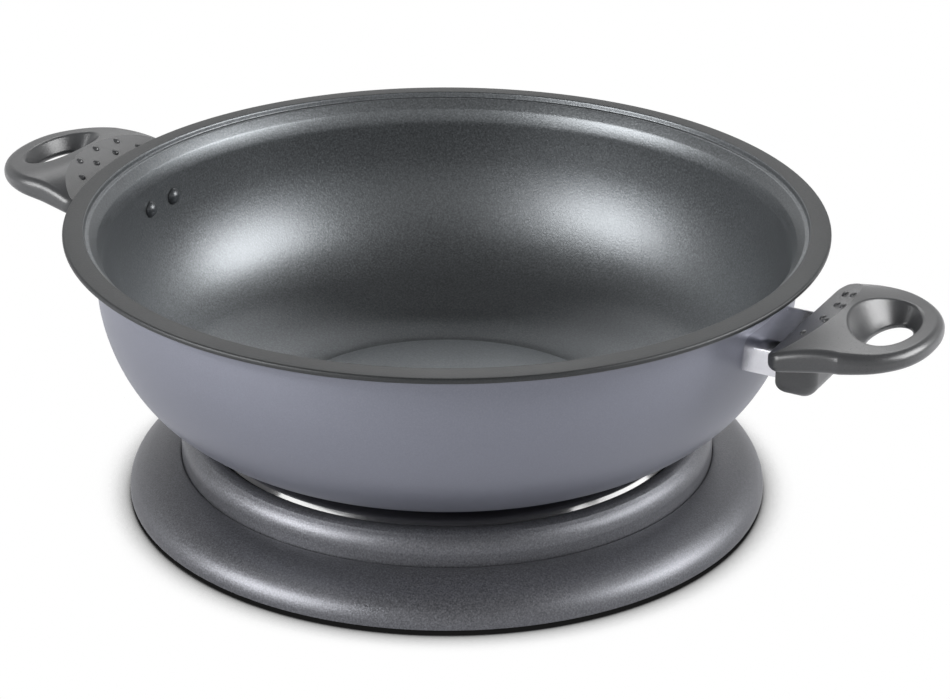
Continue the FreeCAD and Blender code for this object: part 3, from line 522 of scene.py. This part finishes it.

# The last of these is the painted reflection on the bowl's floor, not a coat of its own
BOWL_COATS_AND_REFLECTION = (pan_paint, non_stick, rim_coat, floor_painted_reflection)
OUTSIDE, INSIDE, RIM, FLOOR = range(len(BOWL_COATS_AND_REFLECTION))


def rim_profile(rim_radius, inside_top, steps):
    """The rim from the outside wall, over its edge, crest and ledge, to the inside wall."""
    return rounded([
        (WALL_RADIUS, WALL_TOP_Z),
        (FLARE_RADIUS, FLARE_Z, FLARE_ROUND),
        (rim_radius, EDGE_LOW_Z, EDGE_ROUND),
        (rim_radius, EDGE_HIGH_Z, EDGE_ROUND),
        (CREST_RADIUS, CREST_Z, CREST_ROUND),
        (STEP_RADIUS, LEDGE_Z, STEP_ROUND),
        (LEDGE_RADIUS, LEDGE_Z, LEDGE_ROUND),
        (NECK_RADIUS, NECK_Z, FLARE_ROUND),
        (inside_top.x, inside_top.y),
    ], steps)


def coat_or_reflection_of(face):
    """Which of the bowl's coats a face has, with the painted reflection on the floor counted as
    one of them.
    """
    centre, way = face.center, face.normal
    out = Vector((centre.x, centre.y, 0)).normalized()
    on_rim = centre.z > RIM_COAT_Z / MM
    on_floor = way.z > LOOKS_UP and centre.z < FLOOR_FACES_BELOW_Z / MM
    inner = way.dot(out) < LEANS_IN or on_floor
    # Faces of the flat floor inside get the painted reflection
    if inner and centre.xy.length < FLOOR_REFLECTION_RADIUS / MM:
        return FLOOR
    if on_rim and centre.xy.length > RIM_COAT_RADIUS / MM:
        return RIM
    if inner or (on_rim and way.z > LOOKS_DOWN):
        return INSIDE
    return OUTSIDE


class WOK_OT_pan(bpy.types.Operator):
    """Turns the bowl with its rim and lid ledge, painted outside and coated inside"""
    bl_idname = "wok.pan"
    bl_label = "Pan Bowl"

    def execute(self, context):
        shape = context.scene.wok_shape
        outside = smooth_line(
            BOWL_SIDE, shape.curve_steps, start_way=(1, 0.02), end_way=(0, 1))
        inside = moved_in(outside, shape.floor_wall * MM, shape.side_wall * MM)
        rim = rim_profile(shape.rim_radius * MM, inside[-1], shape.corner_steps)
        line = [Vector((0, FLOOR_Z))] + outside[:-1] + rim + inside[-2::-1]
        line.append(Vector((FLOOR_RING_RADIUS, inside[0].y)))
        line.append(Vector((0, inside[0].y)))
        bowl = turned("pan-bowl", line, closed=False)
        # The bowl gets its three coats and the painted reflection on its floor as materials
        for coat in BOWL_COATS_AND_REFLECTION:
            bowl.data.materials.append(coat())
        for face in bowl.data.polygons:
            face.material_index = coat_or_reflection_of(face)
        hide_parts("pan_bowl")
        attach(bowl, "pan")
        return {'FINISHED'}


# Outside of the skirt, as (distance in from its outer edge, height), from its foot to the seam
SKIRT_SIDE = [(0.0, 2.4), (0.1, 5.0), (1.8, 9.2), (6.0, 13.3), (13.2, 17.0), (19.7, 19.0)]
SEAM_RADIUS = 122.4
SEAM_Z = 19.5
SEAM_DROP = 0.1
# Shelf that carries the upper tier
SHELF_OUTER_RADIUS = 121.6
SHELF_INNER_RADIUS = 102.0
SHELF_Z = 17.5
# Inside of the slope: the radius and rounding of its start at the shelf, and then two
# points as (radius, height, rounding)
SLOPE_START = (123.0, 2.0)
SLOPE_TOP = (124.5, 17.2, 1.0)
SLOPE_MIDDLE = (138.3, 12.2, 5.0)
# Inside and bottom of the skirt's foot
FOOT_BEND_Z = 6.0
FOOT_BEND_ROUND = 3.0
FOOT_Z = 1.5
FOOT_ROUND = 0.6
INNER_ROUND = 0.3

# Edges of the skirt stay sharp past this angle
SHARP_DEGREES = 50

# Window for the thermostat at the back
WINDOW_HALF_WIDTH = 28.8
WINDOW_SILL_Z = 4.2
WINDOW_TOP_Z = 23.5
WINDOW_INNER_Y = 82.0
WINDOW_OUTER_Y = 160.0


def skirt_under(radius, wall, steps):
    """The skirt's inside, from the seam round the shelf and under the slope to the foot."""
    inner = radius - wall
    start_radius, start_round = SLOPE_START
    return rounded([
        (SEAM_RADIUS, SEAM_Z),
        (SHELF_OUTER_RADIUS, SEAM_Z - SEAM_DROP, INNER_ROUND),
        (SHELF_OUTER_RADIUS, SHELF_Z),
        (SHELF_INNER_RADIUS, SHELF_Z),
        (SHELF_INNER_RADIUS, SHELF_Z - wall),
        (start_radius, SHELF_Z - wall, start_round),
        SLOPE_TOP,
        SLOPE_MIDDLE,
        (inner, FOOT_BEND_Z, FOOT_BEND_ROUND),
        (inner, FOOT_Z, INNER_ROUND),
        (radius, FOOT_Z, FOOT_ROUND),
    ], steps)


def cut_window(piece):
    """Cuts the window at the back out of a turned piece of the base."""
    half = WINDOW_HALF_WIDTH / MM
    low = WINDOW_SILL_Z / MM
    high = WINDOW_TOP_Z / MM
    inner = WINDOW_INNER_Y / MM
    outer = WINDOW_OUTER_Y / MM
    mesh = bpy.data.meshes.new("window-cutter")
    bm = bmesh.new()
    size = Matrix.Diagonal((2 * half, outer - inner, high - low, 1.0))
    place = Matrix.Translation((0, (outer + inner) / 2, (high + low) / 2))
    bmesh.ops.create_cube(bm, size=1.0, matrix=place @ size)
    bm.to_mesh(mesh)
    bm.free()
    cutter = bpy.data.objects.new("window-cutter", mesh)
    bpy.context.scene.collection.objects.link(cutter)
    boolean = piece.modifiers.new("Window", 'BOOLEAN')
    boolean.operation = 'DIFFERENCE'
    boolean.object = cutter
    bpy.context.view_layer.update()
    cut = bpy.data.meshes.new_from_object(
        piece.evaluated_get(bpy.context.evaluated_depsgraph_get()))
    piece.modifiers.clear()
    uncut = piece.data
    piece.data = cut
    cut.name = uncut.name
    bpy.data.meshes.remove(uncut)
    bpy.data.objects.remove(cutter)
    bpy.data.meshes.remove(mesh)


class WOK_OT_skirt(bpy.types.Operator):
    """Turns the wide skirt of the base, with a thin seam round the upper tier"""
    bl_idname = "wok.skirt"
    bl_label = "Skirt of the Base"

    def execute(self, context):
        shape = context.scene.wok_shape
        radius = shape.skirt_radius * MM
        points = [(radius - inset, height) for inset, height in SKIRT_SIDE]
        points.append((SEAM_RADIUS, SEAM_Z))
        side = smooth_line(points, shape.curve_steps, start_way=(0, 1), end_way=(-1, 0.1))
        under = skirt_under(radius, shape.skirt_wall * MM, shape.corner_steps)
        skirt = turned("base-skirt", side + under[1:])
        skirt.data.materials.append(base_paint())
        cut_window(skirt)
        sharp_by_angle(skirt, SHARP_DEGREES)
        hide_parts("base_lower_tier")
        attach(skirt, "base")
        return {'FINISHED'}


BASE_NODES = (
    "base_upper_tier", "seat_ring", "base_plate", "heat_shield", "inlet_frame", "rubber_feet",
    "base_screws", "tier_screws", "seat_ring_screws", "shield_screws", "inlet_screws")
HANDLE_NODES = (
    "right_handle", "left_handle", "right_handle_bracket", "left_handle_bracket",
    "bracket_rivets", "handle_screws")
HEATER_NODES = (
    "heater_casting", "heating_element", "terminal_block", "terminal_pins", "pin_guard",
    "probe_tube", "element_cover", "cover_screws", "terminal_screws", "thermal_fuse",
    "fuse_clip", "fuse_clip_screws")


class WOK_OT_base(bpy.types.Operator):
    """Gives the base's upper tier, plate and inlet their finishes"""
    bl_idname = "wok.base"
    bl_label = "Base"

    def execute(self, context):
        for name in BASE_NODES:
            dress(name)
        return {'FINISHED'}


class WOK_OT_handles(bpy.types.Operator):
    """Gives the handles, their brackets, rivets and screws their finishes"""
    bl_idname = "wok.handles"
    bl_label = "Handles"

    def execute(self, context):
        for name in HANDLE_NODES:
            dress(name)
        return {'FINISHED'}


class WOK_OT_heater(bpy.types.Operator):
    """Gives the heater under the pan its finishes"""
    bl_idname = "wok.heater"
    bl_label = "Heater"

    def execute(self, context):
        for name in HEATER_NODES:
            dress(name)
        return {'FINISHED'}


# The studio round the wok

SENSOR_WIDTH = 36.0
CLIP_START = 0.05
CLIP_END = 50.0
FLOOR_HALF_SIZE = 6.0
FLOOR_DROP = 0.0002
# The floor is white to the camera and darkens near the base, within this reach
CONTACT_REACH = 0.06
# The surroundings are bright near the horizon and dim overhead, between these two heights
SKY_LOW = 0.30
SKY_HIGH = 0.80
SKY_LOW_STRENGTH = 0.80
SKY_HIGH_STRENGTH = 0.16
# Lamps as name, degrees round from the camera, distance, height, height of what they
# point at, size and power
LAMPS = (
    ("left-softbox", -62, 1.5, 0.66, 0.08, (1.1, 0.8), 36),
    ("right-softbox", 84, 1.45, 0.82, 0.08, (1.1, 0.8), 34),
    ("back-softbox", 180, 1.3, 1.35, 0.05, (1.6, 0.6), 11),
)


def floor_material():
    """A pale floor that is white to the camera, but for the shade round the base."""
    material = bpy.data.materials.new("Studio Floor")
    material.use_nodes = True
    tree = material.node_tree
    tree.nodes.clear()
    n = Nodes(tree)
    place = n.add('ShaderNodeTexCoord').outputs['Object']
    noise = n.add('ShaderNodeTexNoise', {'Vector': place, 'Scale': 3.0}).outputs['Fac']
    tone = n.mix(noise, (0.70, 0.70, 0.71, 1.0), (0.74, 0.74, 0.75, 1.0))
    shader = n.add('ShaderNodeBsdfPrincipled', {
        'Base Color': tone, 'Roughness': 0.8, 'Specular IOR Level': 0.1})
    near = n.add(
        'ShaderNodeAmbientOcclusion', {'Distance': CONTACT_REACH}, samples=16).outputs['AO']
    white = n.ranged(near, 0.48, 0.84, 0.01, 1.0)
    paper = n.add('ShaderNodeEmission', {'Color': white, 'Strength': 1.0})
    path = n.add('ShaderNodeLightPath').outputs
    seen = n.add('ShaderNodeMixShader', {
        0: path['Is Camera Ray'], 1: shader.outputs['BSDF'], 2: paper.outputs[0]})
    n.add('ShaderNodeOutputMaterial', {'Surface': seen.outputs[0]})
    return material


def studio_camera(studio):
    """The camera, turned round the wok, tilted down on it and rolled a little."""
    tilt = studio.elevation
    turn = Matrix.Rotation(studio.azimuth, 3, 'Z')
    forward = Vector((0, math.cos(tilt), -math.sin(tilt)))
    up = Vector((0, math.sin(tilt), math.cos(tilt)))
    right = Vector((1, 0, 0))
    place = Vector((studio.sideways, 0, studio.target_height)) - forward * studio.distance
    c, s = math.cos(studio.roll), math.sin(studio.roll)
    right, up = right * c + up * s, up * c - right * s
    axes = Matrix((right, up, -forward)).transposed()
    data = bpy.data.cameras.new("Camera")
    data.lens = studio.lens
    data.sensor_width = SENSOR_WIDTH
    data.clip_start = CLIP_START
    data.clip_end = CLIP_END
    camera = bpy.data.objects.new("Camera", data)
    camera.matrix_world = Matrix.Translation(turn @ place) @ (turn @ axes).to_4x4()
    bpy.context.scene.collection.objects.link(camera)
    bpy.context.scene.camera = camera


def studio_floor():
    """The wide flat floor under the wok."""
    mesh = bpy.data.meshes.new("floor")
    bm = bmesh.new()
    bmesh.ops.create_grid(bm, x_segments=2, y_segments=2, size=FLOOR_HALF_SIZE)
    bm.to_mesh(mesh)
    bm.free()
    floor = bpy.data.objects.new("floor", mesh)
    floor.location = (0, 0, -FLOOR_DROP)
    bpy.context.scene.collection.objects.link(floor)
    mesh.materials.append(floor_material())


def studio_world():
    """Soft surroundings for the wok, and plain white behind it for the camera."""
    world = bpy.data.worlds.new("Studio")
    bpy.context.scene.world = world
    world.use_nodes = True
    world.node_tree.nodes.clear()
    n = Nodes(world.node_tree)
    path = n.add('ShaderNodeLightPath').outputs
    seen = n.math('MAXIMUM', path['Is Camera Ray'], path['Is Transmission Ray'])
    way = n.add('ShaderNodeTexCoord').outputs['Generated']
    height = n.add('ShaderNodeSeparateXYZ', {'Vector': way}).outputs['Z']
    level = n.ranged(height, SKY_LOW, SKY_HIGH, SKY_LOW_STRENGTH, SKY_HIGH_STRENGTH)
    soft = n.add('ShaderNodeBackground', {'Color': (1, 1, 1, 1), 'Strength': level})
    white = n.add('ShaderNodeBackground', {'Color': (1, 1, 1, 1), 'Strength': 1.0})
    mixed = n.add('ShaderNodeMixShader', {
        0: seen, 1: soft.outputs[0], 2: white.outputs[0]})
    n.add('ShaderNodeOutputWorld', {'Surface': mixed.outputs[0]})


def studio_lamp(studio, name, degrees, distance, height, target_height, size, power):
    """A soft rectangular lamp that points at the wok."""
    angle = studio.azimuth + math.radians(degrees)
    place = Vector((distance * math.sin(angle), -distance * math.cos(angle), height))
    target = Vector((0, 0, target_height))
    data = bpy.data.lights.new(name, 'AREA')
    data.shape = 'RECTANGLE'
    data.size, data.size_y = size
    data.energy = power * studio.light
    lamp = bpy.data.objects.new(name, data)
    lamp.location = place
    lamp.rotation_euler = (target - place).to_track_quat('-Z', 'Y').to_euler()
    bpy.context.scene.collection.objects.link(lamp)


class WOK_OT_stage(bpy.types.Operator):
    """Sets the camera, the pale floor, the white backdrop and the soft lamps"""
    bl_idname = "wok.stage"
    bl_label = "Studio"

    def execute(self, context):
        studio = context.scene.wok_studio
        studio_camera(studio)
        studio_floor()
        studio_world()
        for settings in LAMPS:
            studio_lamp(studio, *settings)
        context.scene.view_settings.view_transform = 'Standard'
        return {'FINISHED'}


class WOK_PT_panel(bpy.types.Panel):
    """The wok's settings and steps"""
    bl_label = "Electric Wok"
    bl_idname = "WOK_PT_panel"
    bl_space_type = 'VIEW_3D'
    bl_region_type = 'UI'
    bl_category = "Wok"

    def draw(self, context):
        layout = self.layout
        for block in (context.scene.wok_shape, context.scene.wok_finish, context.scene.wok_studio):
            column = layout.column(align=True)
            for key in block.bl_rna.properties.keys():
                if key not in ("rna_type", "name"):
                    column.prop(block, key)
        for step in STEPS:
            layout.operator(step.bl_idname)


STEPS = (WOK_OT_pan, WOK_OT_skirt, WOK_OT_base, WOK_OT_handles, WOK_OT_heater, WOK_OT_stage)
CLASSES = (WokShape, WokFinish, WokStudio) + STEPS + (WOK_PT_panel,)


def register():
    for item in CLASSES:
        bpy.utils.register_class(item)
    bpy.types.Scene.wok_shape = bpy.props.PointerProperty(type=WokShape)
    bpy.types.Scene.wok_finish = bpy.props.PointerProperty(type=WokFinish)
    bpy.types.Scene.wok_studio = bpy.props.PointerProperty(type=WokStudio)


def unregister():
    del bpy.types.Scene.wok_shape
    del bpy.types.Scene.wok_finish
    del bpy.types.Scene.wok_studio
    for item in reversed(CLASSES):
        bpy.utils.unregister_class(item)


def main():
    register()
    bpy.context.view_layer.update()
    bpy.ops.wok.pan()
    bpy.ops.wok.skirt()
    bpy.ops.wok.base()
    bpy.ops.wok.handles()
    bpy.ops.wok.heater()
    bpy.ops.wok.stage()


if __name__ == "__main__":
    main()
